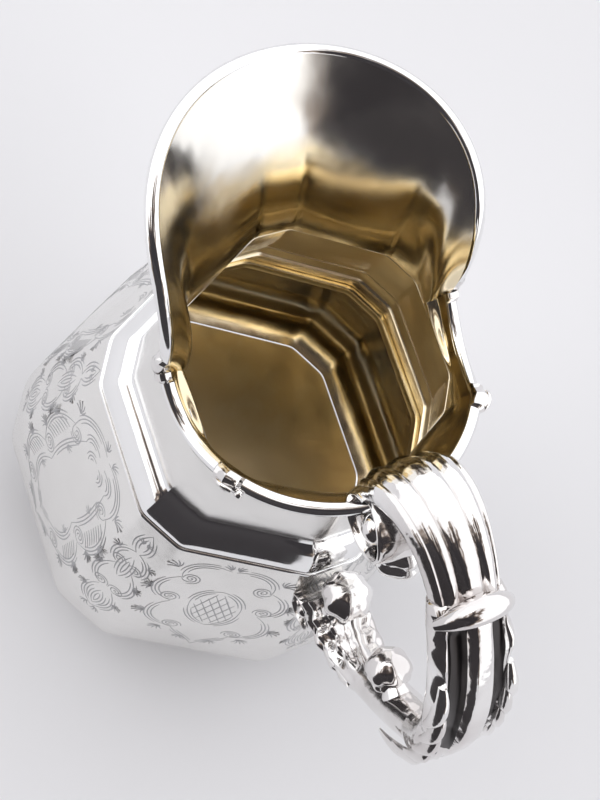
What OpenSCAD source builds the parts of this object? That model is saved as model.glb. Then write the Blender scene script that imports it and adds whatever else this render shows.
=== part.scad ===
// Cream jug in silver: a twelve-sided pear-shaped body under a moulded collar, a waisted neck that
// turns from faceted to round, a high helmet lip and a cast scroll handle.
// Frame: +Z up, +X to the lip, -X to the handle; origin at the centre of the foot's underside.

/* [Body] */
// Half width of the body across its wide panels, at the belly
belly_r = 44.4; // [42:0.2:46]
// Height of the belly above the table
belly_z = 24; // [22:0.5:26]
// Half width across the wide panels where the body meets the collar
shoulder_r = 27.4; // [27:0.1:27.6]
// Height of the inside floor's underside
floor_z = 7.9; // [7:0.1:8.5]
// Thickness of the silver sheet
wall = 0.9; // [0.7:0.05:1]

/* [Foot] */
// Half width across the wide sides of the foot's bottom edge
foot_r = 37.2; // [36:0.1:39]
// Height of the moulded edge at the bottom of the foot
foot_edge_h = 1.6; // [1.2:0.1:2]

/* [Collar and neck] */
// Height of the collar's widest line
collar_z = 83; // [82:0.5:84]
// Half width across the wide sides of the collar's widest line
collar_r = 29; // [28.8:0.1:29.4]
// Half width of the neck at its foot
neck_foot_r = 23.9; // [23.6:0.1:24.2]
// Half width of the neck at its waist
waist_r = 20.5; // [20:0.1:21]
// Height of the waist
waist_z = 112; // [110:0.5:113]

/* [Mouth and lip] */
// Radius of the round mouth
mouth_r = 23.1; // [22.8:0.1:23.6]
// Reach of the lip's tip from the jug's axis
lip_reach = 36.2; // [34:0.2:38]
// Height of the mouth's edge at the sides
mouth_z = 115.3; // [115:0.1:116]
// Rise of the edge from the sides to the handle
back_rise = 10.6; // [9:0.2:11]
// Rise of the lip above the sides
lip_rise = 23.4; // [21:0.2:24]
// Half of the angle that the lip takes round the mouth
lip_half = 78; // [76:0.5:80]
// Depth of the dip in the edge between the front and rear scrolls
side_dip = 3; // [2:0.1:3.4]
// Drop of the lip's tip below its shoulders
tip_drop = 1.5; // [0:0.1:2]
// Angle from the lip's middle to the scroll on the rear quarter
rear_scroll = 124; // [120:0.5:128]

/* [Handle] */
// Width of the cast handle
handle_w = 9.2; // [8:0.1:10]
// Thickness of the cast handle
handle_t = 6.4; // [5.6:0.1:7]
// Outer radius of the upper volute
volute_r = 5.6; // [5:0.1:6]
// Outer radius of the lower volute
low_volute_r = 4.2; // [3.8:0.1:4.6]

/* [Hidden] */

silver = [0.80, 0.79, 0.77];
bright = [0.88, 0.88, 0.89];
gilt = [0.83, 0.62, 0.30];

// Twelve-sided plan: six wide panels and six narrow ones, which stand this much further out.
narrow_ratio = 1.066;
// Half of the angle that a narrow panel takes.
narrow_half = atan((1 / narrow_ratio - cos(30)) / sin(30));

function plan_angle(i) = 60 * floor(i / 2) + (i % 2 == 0 ? -narrow_half : narrow_half);
function plan_point(r, i) =
    let (v = r * narrow_ratio / cos(narrow_half)) [v * cos(plan_angle(i)), v * sin(plan_angle(i))];
function plan_radius(a) =
    let (m = ((a % 60) + 60) % 60, from_narrow = min(m, 60 - m))
    from_narrow < narrow_half ? narrow_ratio / cos(from_narrow) : 1 / cos(30 - from_narrow);

function bezier(p, t) =
    pow(1 - t, 3) * p[0] + 3 * pow(1 - t, 2) * t * p[1] + 3 * (1 - t) * t * t * p[2] + pow(t, 3) * p[3];
function curve(p, n, first = 0) = [for (i = [first:n]) bezier(p, i / n)];
function reversed(list) = [for (i = [len(list) - 1:-1:0]) list[i]];
function unit(v) = v / norm(v);

// A closed outline of [half width, height] points carried round the twelve-sided plan.
module panelled(outline) {
    n = len(outline);
    points = [for (p = outline, i = [0:11]) concat(plan_point(p[0], i), [p[1]])];
    faces = [for (j = [0:n - 1], i = [0:11])
        let (k = (j + 1) % n, m = (i + 1) % 12) [12 * j + i, 12 * k + i, 12 * k + m, 12 * j + m]];
    polyhedron(points, faces);
}

// Rows of points, each a closed ring of the same length, joined into a tube with both ends closed.
module tube(rows) {
    m = len(rows);
    n = len(rows[0]);
    points = [for (row = rows, p = row) p];
    sides = [for (j = [0:m - 2], i = [0:n - 1], half = [0, 1])
        let (k = (i + 1) % n)
        half == 0 ? [n * j + i, n * (j + 1) + i, n * (j + 1) + k] : [n * j + i, n * (j + 1) + k, n * j + k]];
    ends = [[for (i = [0:n - 1]) i], [for (i = [n - 1:-1:0]) n * (m - 1) + i]];
    polyhedron(points, concat(sides, ends));
}

// Outline of a sheet wall: up the outside, then down the inside.
function wall_outline(outside, inside) = concat(outside, reversed(inside));

// ---- body ----
side_curve = [[shoulder_r, collar_z - 2.4], [33, 66], [42, 46], [belly_r, belly_z]];
under_curve = [[belly_r, belly_z], [belly_r + 0.6, 15], [42, 9.5], [35, floor_z]];
body_outside = concat(reversed(curve(under_curve, 7)), reversed(curve(side_curve, 10)) );
floor_thin = 0.6;
body_inside = [for (p = body_outside)
    [p[0] - (p[1] > floor_z + 3 ? wall : floor_thin),
     p[1] + (p[1] < belly_z ? wall * (1 - p[1] / belly_z) * 1.4 : 0)]];

module body_shell() {
    color(silver) panelled(wall_outline(body_outside, body_inside));
}

module base_plate() {
    r = body_inside[0][0];
    color(gilt) translate([0, 0, floor_z]) linear_extrude(wall)
        polygon([for (i = [0:11]) plan_point(r, i)]);
}

foot_top_r = body_inside[0][0] - 0.8;
module foot_ring() {
    outside = [[foot_r - 1.2, foot_edge_h], [foot_r - 2.6, 2.6], [foot_top_r - 1.2, 4.4],
               [foot_top_r - 1.0, 6.6], [foot_top_r, floor_z]];
    inside = [for (p = outside) [p[0] - 1.3, p[1]]];
    color(silver) panelled(wall_outline(outside, inside));
}

module foot_edge() {
    color(silver) linear_extrude(foot_edge_h) difference() {
        polygon([for (i = [0:11]) plan_point(foot_r, i)]);
        polygon([for (i = [0:11]) plan_point(foot_r - 3, i)]);
    }
}

// ---- collar ----
body_top_z = collar_z - 2.4;
neck_foot_z = collar_z + 7.8;
module neck_seat_ring() {
    r = shoulder_r - wall;
    color(gilt) panelled([[r, body_top_z - 3.4], [r, body_top_z],
                          [r - 1.4, body_top_z], [r - 1.4, body_top_z - 2.4]]);
}

module shoulder_collar() {
    cove = [[neck_foot_r, neck_foot_z], [neck_foot_r + 0.3, neck_foot_z - 1.2],
            [neck_foot_r + 1.25, neck_foot_z - 1.7]];
    ovolo = curve([[neck_foot_r + 1.25, neck_foot_z - 1.7], [neck_foot_r + 2.9, neck_foot_z - 3.3],
                   [collar_r - 1, collar_z + 2.4], [collar_r - 0.5, collar_z + 0.6]], 6, 1);
    under = [[collar_r - 0.5, collar_z - 0.6], [shoulder_r + 0.2, body_top_z]];
    inside = [[shoulder_r - wall - 0.4, body_top_z], [neck_foot_r - wall, neck_foot_z]];
    color(bright) panelled(reversed(concat(cove, ovolo, under, inside)));
}

module collar_wire() {
    r = collar_r - 0.5;
    color(bright) panelled([[r, collar_z - 0.6], [r + 0.35, collar_z - 0.5], [r + 0.5, collar_z],
                            [r + 0.35, collar_z + 0.5], [r, collar_z + 0.6]]);
}

// ---- neck ----
neck_curve = [[neck_foot_r, neck_foot_z], [23.2, 96], [21.4, 102], [waist_r, waist_z]];
module neck() {
    outside = curve(neck_curve, 8);
    inside = [for (p = outside) [p[0] - wall, p[1]]];
    color(silver) panelled(wall_outline(outside, inside));
}

// ---- mouth and lip ----
lip_steps = 22;
back_steps = 20;
side_angles = concat([for (i = [0:lip_steps]) lip_half * sin(90 * i / lip_steps)],
                     [for (i = [1:back_steps]) lip_half + (180 - lip_half) * i / back_steps]);
mouth_angles = concat(side_angles, [for (i = [len(side_angles) - 2:-1:1]) -side_angles[i]]);
mouth_count = len(mouth_angles);

function lip_share(a) = a < lip_half ? pow(cos(90 * a / lip_half), 1.34) : 0;
// From 0 at both scrolls to 1 half way between them, where the edge dips and draws in.
function dip_share(a) =
    a > lip_half && a < rear_scroll ? sin(180 * (a - lip_half) / (rear_scroll - lip_half)) : 0;
function edge_radius(a) = mouth_r + (lip_reach - mouth_r) * lip_share(a) - 0.24 * side_dip * dip_share(a);
function lip_height(a) =
    lip_rise * pow(1 - pow(a / lip_half, 3.7), 0.52) - tip_drop * pow(cos(90 * a / lip_half), 3);
function back_height(a) = back_rise * pow((a - lip_half) / (180 - lip_half), 1.7);
function edge_height(a) =
    mouth_z + (a < lip_half ? lip_height(a) : back_height(a) - side_dip * dip_share(a));
function edge_point(a) =
    let (m = abs(a)) [edge_radius(m) * cos(a), edge_radius(m) * sin(a), edge_height(m)];
function at(i) = mouth_angles[(i + mouth_count) % mouth_count];
function edge_along(i) = unit(edge_point(at(i + 1)) - edge_point(at(i - 1)));
// Direction in which the sheet arrives at its edge: nearly upright at the back, leaning out at the lip.
function edge_lean(i) = let (a = at(i), s = lip_share(abs(a)), tilt = 24 + 26 * s)
    [sin(tilt) * cos(a), sin(tilt) * sin(a), cos(tilt)];
function edge_out(i) = unit(cross(edge_along(i), edge_lean(i)));
function edge_away(i) = unit(cross(edge_out(i), edge_along(i)));

sheet_end = 1.2;
sheet_rows = 8;
function waist_point(i) = let (a = at(i), r = waist_r * plan_radius(a)) [r * cos(a), r * sin(a), waist_z];
function sheet_point(i, t) =
    let (start = waist_point(i), finish = edge_point(at(i)) - sheet_end * edge_away(i),
         reach = norm(finish - start) * 0.36)
    bezier([start, start + [0, 0, reach], finish - reach * edge_away(i), finish], t);
function sheet_out(i, t) =
    let (a = at(i)) unit((1 - t) * [cos(a), sin(a), 0] + t * edge_out(i));
function sheet_row(j, inset) = [for (i = [0:mouth_count - 1])
    j > sheet_rows ? edge_point(at(i)) - inset * edge_out(i)
                   : sheet_point(i, j / sheet_rows) - inset * sheet_out(i, j / sheet_rows)];

module mouth_and_lip() {
    rows = concat([for (j = [0:sheet_rows + 1]) sheet_row(j, 0)],
                  [for (j = [sheet_rows + 1:-1:0]) sheet_row(j, wall)]);
    n = mouth_count;
    m = len(rows);
    points = [for (row = rows, p = row) p];
    faces = [for (j = [0:m - 1], i = [0:n - 1], half = [0, 1])
        let (b = n * j, t = n * ((j + 1) % m), k = (i + 1) % n)
        half == 0 ? [b + i, t + i, t + k] : [b + i, t + k, b + k]];
    color(gilt) polyhedron(points, faces);
}

// ---- rim ----
// Section of the half-round moulding that caps the sheet: [outwards, away from the sheet].
rim_section = [[-wall, 0], [-wall - 0.3, 0.5], [-0.7, 1.0], [0.1, 1.2], [0.8, 0.9], [1.15, 0.2],
               [1.0, -0.6], [0.5, -1.1], [0, -1.15], [0, 0]];
function rim_ring(i, swell) = [for (q = rim_section)
    edge_point(at(i)) + edge_out(i) * (q[0] > 0 ? swell * q[0] : q[0])
                      + edge_away(i) * (q[1] > 0 ? swell * q[1] : q[1])];
module rim_length(first, last, swell = 0) {
    color(bright) tube([for (i = [first:last])
        rim_ring(i, 1 + swell * sin(180 * (i - first) / (last - first)))]);
}
// Places along the edge, as steps from the lip's middle.
front_from = lip_steps - 2;
front_to = lip_steps + 1;
rear_from = lip_steps + round(back_steps * (rear_scroll - lip_half) / (180 - lip_half)) - 1;
rear_to = rear_from + 2;

module lip_moulding() { rim_length(-front_from, front_from); }
module rim_moulding_left() { rim_length(front_to, rear_from); }
module rim_moulding_right() { rim_length(-rear_from, -front_to); }
module rim_moulding_back() { rim_length(rear_to, mouth_count - rear_to); }
scroll_swell = 0.9;
module front_scroll_left() { rim_length(front_from, front_to, scroll_swell); }
module front_scroll_right() { rim_length(-front_to, -front_from, scroll_swell); }
module rear_scroll_left() { rim_length(rear_from, rear_to, scroll_swell); }
module rear_scroll_right() { rim_length(-rear_to, -rear_from, scroll_swell); }

// ---- handle ----
// Middle line of the casting in the plane through the lip and the handle: [x, z].
handle_line = [[-20.8, 129.6], [-22.3, 134.2], [-25.9, 137.4], [-30.8, 138.2], [-36.3, 136.4], [-42.6, 132.6],
               [-49.1, 126.4], [-54.3, 117.9], [-57.0, 107.7], [-55.2, 97.2], [-51.6, 87.4], [-46.8, 80.4],
               [-41.2, 76.8], [-35.6, 76.2], [-30.0, 76.4]];
leaf_start = 4;
leaf_end = 8.4;
steps_per_point = 3;
// Width and thickness along each casting: [place on the line, size].
scroll_width = [[0, handle_w], [leaf_start, handle_w]];
scroll_thick = [[0, handle_t - 0.6], [1.5, handle_t], [leaf_start, handle_t]];
leaf_width = [[leaf_start, handle_w + 1.2], [6.2, handle_w + 3], [leaf_end, handle_w - 0.4]];
leaf_thick = [[leaf_start, handle_t + 1.4], [6.2, handle_t + 1], [leaf_end, handle_t + 0.4]];
husk_width = [[leaf_end, handle_w - 1.6], [10, handle_w - 1.4], [12, handle_w + 0.8], [14, handle_w + 0.8]];
husk_thick = [[leaf_end, handle_t - 0.4], [10, handle_t], [12, handle_t + 2.8], [14, handle_t + 2.8]];

// A smooth curve through the line's points.
function handle_at(t) =
    let (n = len(handle_line) - 1, i = min(floor(t), n - 1), u = t - i,
         before = handle_line[max(i - 1, 0)], here = handle_line[i], next = handle_line[i + 1],
         after = handle_line[min(i + 2, n)])
    0.5 * (2 * here + (next - before) * u + (2 * before - 5 * here + 4 * next - after) * u * u
           + (3 * here - before - 3 * next + after) * pow(u, 3));
function handle_out(t) = let (d = unit(handle_at(t + 0.05) - handle_at(t - 0.05))) [-d[1], d[0]];
function handle_ring(t, w, thick, sides = 16) = [for (k = [0:sides - 1])
    let (a = 360 * k / sides, p = handle_at(t) + handle_out(t) * thick / 2 * sin(a))
    [p[0], w / 2 * cos(a), p[1]]];
module handle_length(from, to, widths, thicks) {
    steps = ceil((to - from) * steps_per_point);
    tube([for (j = [0:steps]) let (t = from + (to - from) * j / steps)
        handle_ring(t, lookup(t, widths), lookup(t, thicks))]);
}

volute_at = [-25.2, 126.3];
volute_w = handle_w;
low_volute_at = [-36.6, 69.6];
low_volute_w = handle_w + 1.6;
module along_y(at, w) { translate([at[0], w / 2, at[1]]) rotate([90, 0, 0]) children(); }
module volute_disc(at, r, w) { along_y(at, w) cylinder(r = r, h = w, $fn = 48); }
module volute(at, r, w, dish) {
    difference() {
        volute_disc(at, r, w);
        for (s = [-1, 1]) translate([0, s * (w / 2 - dish / 2 + 0.05), 0])
            volute_disc(at, r * 0.72, dish + 0.1);
    }
}
module volute_eyes(at, r, w, dish) {
    for (s = [-1, 1]) translate([0, s * (w / 2 - dish / 2), 0])
        along_y(at, dish) cylinder(r = r * 0.3, h = dish, $fn = 32);
}
// Room for the sheet and its moulding where the upper volute straddles the mouth's edge.
rim_gap_top = mouth_z + back_rise + 1.4;
module rim_room() {
    rotate_extrude($fn = 96) translate([mouth_r - wall - 0.5, rim_gap_top - 12]) square([wall + 1.9, 12]);
}
// The solid that the body and collar fill, against which the handle's lower end is fitted.
module body_block() {
    low = floor_z + 20;
    panelled(reversed(concat([[1, neck_foot_z - 1.7], [neck_foot_r + 1.3, neck_foot_z - 1.7],
        [collar_r, collar_z + 0.6], [collar_r, collar_z - 0.6]],
        reversed([for (p = body_outside) if (p[1] > low) p]), [[1, low]])));
}

module upper_volute() {
    color(bright) difference() {
        volute(volute_at, volute_r, volute_w, 2.6);
        rim_room();
    }
}
module upper_volute_eyes() {
    color(bright) difference() {
        volute_eyes(volute_at, volute_r, volute_w, 2.6);
        rim_room();
    }
}
module handle_upper_scroll() {
    color(bright) difference() {
        handle_length(0.05, leaf_start, scroll_width, scroll_thick);
        volute_disc(volute_at, volute_r, volute_w + 1);
    }
}
module handle_leaf() { color(bright) handle_length(leaf_start, leaf_end, leaf_width, leaf_thick); }
module lower_scroll_blank() { handle_length(leaf_end, 13.9, husk_width, husk_thick); }
module handle_lower_scroll() {
    color(bright) difference() {
        lower_scroll_blank();
        body_block();
        volute_disc(low_volute_at, low_volute_r, low_volute_w + 1);
    }
}
module lower_volute() {
    color(bright) difference() {
        volute(low_volute_at, low_volute_r, low_volute_w, 1.8);
        body_block();
    }
}
module lower_volute_eyes() { color(bright) volute_eyes(low_volute_at, low_volute_r, low_volute_w, 1.8); }

module knuckle(at, r) {
    translate([at[0], 0, at[1]]) rotate_extrude($fn = 40)
        intersection() { circle(r = r, $fn = 40); translate([0, -r]) square([r, 2 * r]); }
}
underside_bud_at = [-30.2, 118.8];
body_knuckle_at = [-35.8, 85.4];
bend_knuckle_at = [-48.4, 94.8];

module underside_bud() {
    color(bright) difference() {
        knuckle(underside_bud_at, 3.9);
        volute_disc(volute_at, volute_r, volute_w + 1);
    }
}
module knuckle_at_body() {
    color(bright) difference() {
        knuckle(body_knuckle_at, 4.4);
        lower_scroll_blank();
    }
}
module knuckle_at_bend() {
    color(bright) difference() {
        knuckle(bend_knuckle_at, 3.8);
        lower_scroll_blank();
    }
}

body_shell();
base_plate();
foot_ring();
foot_edge();
neck_seat_ring();
shoulder_collar();
collar_wire();
neck();
mouth_and_lip();
lip_moulding();
rim_moulding_left();
rim_moulding_right();
rim_moulding_back();
front_scroll_left();
front_scroll_right();
rear_scroll_left();
rear_scroll_right();
upper_volute();
upper_volute_eyes();
handle_upper_scroll();
handle_leaf();
handle_lower_scroll();
lower_volute();
lower_volute_eyes();
underside_bud();
knuckle_at_body();
knuckle_at_bend();
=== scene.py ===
"""Silver cream jug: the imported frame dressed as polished, engraved and gilt silver."""
import math

import bpy
import numpy as np
from mathutils import Matrix, Vector


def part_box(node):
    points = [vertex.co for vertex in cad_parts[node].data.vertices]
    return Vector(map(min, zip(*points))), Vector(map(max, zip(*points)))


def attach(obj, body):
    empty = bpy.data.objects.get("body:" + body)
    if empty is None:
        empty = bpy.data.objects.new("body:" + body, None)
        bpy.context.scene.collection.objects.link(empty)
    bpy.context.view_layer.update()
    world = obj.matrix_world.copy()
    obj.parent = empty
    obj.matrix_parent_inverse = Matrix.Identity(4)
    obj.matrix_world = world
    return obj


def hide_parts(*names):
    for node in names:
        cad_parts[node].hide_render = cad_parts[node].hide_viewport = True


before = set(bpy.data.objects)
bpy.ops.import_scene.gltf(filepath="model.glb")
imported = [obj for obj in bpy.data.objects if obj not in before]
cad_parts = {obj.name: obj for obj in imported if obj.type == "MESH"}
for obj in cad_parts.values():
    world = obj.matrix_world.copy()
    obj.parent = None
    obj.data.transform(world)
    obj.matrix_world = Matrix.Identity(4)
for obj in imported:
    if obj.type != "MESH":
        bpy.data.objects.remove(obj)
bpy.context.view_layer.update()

MM = 0.001


def top(node):
    """Highest z of a CAD node, in millimetres."""
    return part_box(node)[1][2] / MM


def bottom(node):
    """Lowest z of a CAD node, in millimetres."""
    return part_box(node)[0][2] / MM


# ---- sizes in millimetres, taken from the frame where a node gives them ----
WALL = 0.9
NARROW_RATIO = 1.066
COLLAR_Z = (top("collar_wire") + bottom("collar_wire")) / 2
COLLAR_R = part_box("collar_wire")[1][1] / MM
BODY_TOP = top("body_shell")
BELLY_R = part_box("body_shell")[1][1] / MM
FLOOR_Z = bottom("body_shell")
BELLY_Z = 24.0
SHOULDER_R = 27.4
NECK_FOOT_R = 23.9
NECK_FOOT_Z = bottom("neck")
WAIST_R = 20.5
WAIST_Z = top("neck")
FOOT_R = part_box("foot_edge")[1][1] / MM
FOOT_EDGE_H = top("foot_edge")
MOUTH_R = 23.1
MOUTH_Z = 115.3
LIP_REACH = 36.2
LIP_RISE = 23.4
LIP_HALF = 78.0
TIP_DROP = 1.5
BACK_RISE = 10.6
SIDE_DIP = 3.0
REAR_SCROLL = 124.0


# ---- mesh helpers ----
def mesh_object(name, points, faces, materials, face_slots=None, sharp=32.0):
    """A smooth-shaded mesh piece from points in millimetres; edges over `sharp` degrees stay crisp."""
    mesh = bpy.data.meshes.new(name)
    mesh.from_pydata([tuple(p) for p in np.asarray(points) * MM], [], [tuple(map(int, f)) for f in faces])
    for material in materials:
        mesh.materials.append(material)
    if face_slots is not None:
        mesh.polygons.foreach_set("material_index", np.asarray(face_slots, dtype=np.int32))
    mesh.polygons.foreach_set("use_smooth", np.ones(len(mesh.polygons), dtype=bool))
    mesh.validate()
    mesh.set_sharp_from_angle(angle=math.radians(sharp))
    piece = bpy.data.objects.new(name, mesh)
    bpy.context.scene.collection.objects.link(piece)
    return piece


def finish_piece(piece, slot, *nodes):
    """The piece rides on the jug's one body in place of these CAD nodes; `slot`, the finish's name, is not
    used.
    """
    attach(piece, "root")
    if nodes:
        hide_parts(*nodes)
    return piece


def grid_faces(rows, columns, close_rows=False, close_columns=True):
    """Quads over a grid of points; closed across when it is a ring, and along when it is a torus."""
    faces = []
    for j in range(rows if close_rows else rows - 1):
        for i in range(columns if close_columns else columns - 1):
            below, above = j * columns, ((j + 1) % rows) * columns
            following = (i + 1) % columns
            faces.append((below + i, below + following, above + following, above + i))
    return faces


def capped_tube(rows):
    """Points and faces of a tube through rings of equal length, closed at both ends."""
    rows = np.asarray(rows, float)
    count, ring = rows.shape[0], rows.shape[1]
    faces = grid_faces(count, ring)
    faces.append(tuple(range(ring - 1, -1, -1)))
    faces.append(tuple(range((count - 1) * ring, count * ring)))
    return rows.reshape(-1, 3), faces


def join(parts):
    """Several (points, faces) lists as one."""
    points, faces, start = [], [], 0
    for part_points, part_faces in parts:
        points.append(np.asarray(part_points, float))
        faces += [tuple(start + v for v in face) for face in part_faces]
        start += len(part_points)
    return np.vstack(points), faces


def bezier(p, count, skip_first=False):
    t = np.linspace(0, 1, count)[1 if skip_first else 0:, None]
    p = np.asarray(p, float)
    return (1 - t) ** 3 * p[0] + 3 * (1 - t) ** 2 * t * p[1] + 3 * (1 - t) * t ** 2 * p[2] + t ** 3 * p[3]


def unit(v):
    return v / np.maximum(np.linalg.norm(v, axis=-1, keepdims=True), 1e-9)


def clamp(x):
    return np.clip(x, 0, 1)


def around(degrees):
    """The outward and the sideways direction at an angle round the jug."""
    turn = math.radians(degrees)
    return np.array([math.cos(turn), math.sin(turn), 0]), np.array([-math.sin(turn), math.cos(turn), 0])


def in_plane(point):
    """An [x, z] place in the plane of the lip and handle as [x, y, z]."""
    return np.array([point[0], 0, point[1]])


Y_AXIS, Z_AXIS = np.array([0, 1, 0]), np.array([0, 0, 1])


# ---- the twelve-sided plan ----
SIDE_STEP = 30


def plan_radius(degrees, crisp):
    """Radius of the plan for a half width of 1: wide panels at 30, 90, ... degrees and narrow ones between.
    A high `crisp` gives tight corners."""
    total = 0.0
    for k in range(12):
        reach = NARROW_RATIO if k % 2 == 0 else 1.0
        total = total + (np.maximum(np.cos(np.radians(degrees - SIDE_STEP * k)), 1e-6) / reach) ** crisp
    return total ** (-1 / crisp)


# Half the angle that a narrow panel takes up.
side_turn = math.radians(SIDE_STEP)
NARROW_HALF = math.degrees(math.atan((1 / NARROW_RATIO - math.cos(side_turn)) / math.sin(side_turn)))


def plan_angles(corner_points=7, corner_spread=2.6, wide_points=7, narrow_points=2):
    """Angles round the plan, gathered at the corners."""
    angles = []
    corner = np.linspace(-corner_spread, corner_spread, corner_points)
    for k in range(6):
        left, right = 2 * SIDE_STEP * k - NARROW_HALF, 2 * SIDE_STEP * k + NARROW_HALF
        angles += list(left + corner)
        angles += list(np.linspace(left + corner_spread, right - corner_spread, narrow_points + 2)[1:-1])
        angles += list(right + corner)
        next_left = left + 2 * SIDE_STEP
        angles += list(np.linspace(right + corner_spread, next_left - corner_spread, wide_points + 2)[1:-1])
    return np.array(angles)


PLAN = plan_angles()
CRISP = 130.0


def ring(radius, degrees, z):
    """Points round the jug's axis at one height."""
    turn = np.radians(degrees)
    return np.stack([radius * np.cos(turn), radius * np.sin(turn), np.full(len(turn), z)], axis=-1)


def panelled(profile):
    """A closed profile of [half width, height] carried round the plan."""
    profile = np.asarray(profile, float)
    radius = plan_radius(PLAN, CRISP)
    rows = []
    for r, z in profile:
        rows.append(ring(r * radius, PLAN, z))
    return np.concatenate(rows), grid_faces(len(profile), len(PLAN), close_rows=True)


def rounded(profile, radius=0.18, steps=3):
    """The profile with each of its corners turned through a small arc."""
    profile = np.asarray(profile, float)
    result = []
    for i, here in enumerate(profile):
        before, after = profile[i - 1], profile[(i + 1) % len(profile)]
        cut = min(radius, 0.4 * np.linalg.norm(before - here), 0.4 * np.linalg.norm(after - here))
        a = here + cut * unit(before - here)
        b = here + cut * unit(after - here)
        for t in np.linspace(0, 1, steps):
            result.append((1 - t) ** 2 * a + 2 * t * (1 - t) * here + t * t * b)
    return np.array(result)


# ---- materials ----
def new_material(name, colour, metallic=1.0, roughness=0.1):
    material = bpy.data.materials.new(name)
    material.use_nodes = True
    shader = material.node_tree.nodes["Principled BSDF"]
    shader.inputs["Base Color"].default_value = (*colour, 1)
    shader.inputs["Metallic"].default_value = metallic
    shader.inputs["Roughness"].default_value = roughness
    return material


def node(material, kind, **settings):
    made = material.node_tree.nodes.new(kind)
    for key, value in settings.items():
        if key in made.inputs:
            made.inputs[key].default_value = value
        else:
            setattr(made, key, value)
    return made


def link(material, source, target):
    material.node_tree.links.new(source, target)


def object_noise(material, scale, detail=3.0, roughness=0.5):
    """A noise texture in the object's own coordinates."""
    place = node(material, "ShaderNodeTexCoord")
    noise = node(material, "ShaderNodeTexNoise", Scale=scale, Detail=detail, Roughness=roughness)
    link(material, place.outputs["Object"], noise.inputs["Vector"])
    return noise


def ramp(material, source, stops):
    """A colour ramp over `source` with stops of (position, colour)."""
    made = node(material, "ShaderNodeValToRGB")
    elements = made.color_ramp.elements
    elements[0].position, elements[0].color = stops[0][0], (*stops[0][1], 1)
    elements[1].position, elements[1].color = stops[-1][0], (*stops[-1][1], 1)
    for position, colour in stops[1:-1]:
        elements.new(position).color = (*colour, 1)
    link(material, source, made.inputs["Fac"])
    return made


def map_range(material, source, low, high, to_low, to_high):
    made = node(material, "ShaderNodeMapRange")
    made.inputs["From Min"].default_value = low
    made.inputs["From Max"].default_value = high
    made.inputs["To Min"].default_value = to_low
    made.inputs["To Max"].default_value = to_high
    link(material, source, made.inputs["Value"])
    return made


def silver_material(name, colour, tarnish, rough_low, rough_high, bump=0.02, bump_scale=180.0):
    """Polished silver: faint uneven tone, hand-polished roughness and a slightly rippled surface."""
    material = new_material(name, colour)
    shader = material.node_tree.nodes["Principled BSDF"]
    tone = object_noise(material, 55.0, 4.0)
    colours = ramp(material, tone.outputs["Fac"], [(0.32, tarnish), (0.62, colour)])
    link(material, colours.outputs["Color"], shader.inputs["Base Color"])
    wear = object_noise(material, 260.0, 5.0, 0.65)
    rough = map_range(material, wear.outputs["Fac"], 0.3, 0.75, rough_low, rough_high)
    link(material, rough.outputs["Result"], shader.inputs["Roughness"])
    ripple = object_noise(material, bump_scale, 2.0)
    bumps = node(material, "ShaderNodeBump", Strength=bump, Distance=0.002)
    link(material, ripple.outputs["Fac"], bumps.inputs["Height"])
    link(material, bumps.outputs["Normal"], shader.inputs["Normal"])
    return material


def gilt_material(name, fade=False, rough=(0.10, 0.24), pale=0.0):
    """Gilt silver: warm gold with darker brown drifts. With `fade` it turns to bare silver above a wavy line;
    `pale` lightens the drifts."""
    material = new_material(name, (0.83, 0.60, 0.27))
    shader = material.node_tree.nodes["Principled BSDF"]
    tone = object_noise(material, 70.0, 4.0)
    gold = ramp(material, tone.outputs["Fac"], [(0.30, (0.76 + pale, 0.63 + pale, 0.42 + pale)),
                                               (0.55, (0.90, 0.78, 0.54)), (0.75, (0.96, 0.88, 0.68))])
    result = gold.outputs["Color"]
    if fade:
        place = node(material, "ShaderNodeTexCoord")
        parts = node(material, "ShaderNodeSeparateXYZ")
        link(material, place.outputs["Object"], parts.inputs["Vector"])
        drift = object_noise(material, 90.0, 2.0)
        wave = map_range(material, drift.outputs["Fac"], 0.0, 1.0, -GILT_WAVE * MM, GILT_WAVE * MM)
        height = node(material, "ShaderNodeMath", operation="ADD")
        link(material, parts.outputs["Z"], height.inputs[0])
        link(material, wave.outputs["Result"], height.inputs[1])
        low, high = (GILT_TOP - GILT_SOFT) * MM, (GILT_TOP + GILT_SOFT) * MM
        share = map_range(material, height.outputs["Value"], low, high, 0, 1)
        mix = node(material, "ShaderNodeMix", data_type="RGBA")
        # The colour sockets of this node share their names with others, so they go by number.
        factor, gold_side, silver_side = mix.inputs[0], mix.inputs[6], mix.inputs[7]
        silver_side.default_value = (*BARE_SILVER, 1)
        link(material, share.outputs["Result"], factor)
        link(material, result, gold_side)
        result = mix.outputs[2]
    link(material, result, shader.inputs["Base Color"])
    wear = object_noise(material, 120.0, 4.0)
    rough = map_range(material, wear.outputs["Fac"], 0.3, 0.7, *rough)
    link(material, rough.outputs["Result"], shader.inputs["Roughness"])
    ripple = object_noise(material, 60.0, 3.0)
    bumps = node(material, "ShaderNodeBump", Strength=0.10, Distance=0.003)
    link(material, ripple.outputs["Fac"], bumps.inputs["Height"])
    link(material, bumps.outputs["Normal"], shader.inputs["Normal"])
    return material


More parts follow.
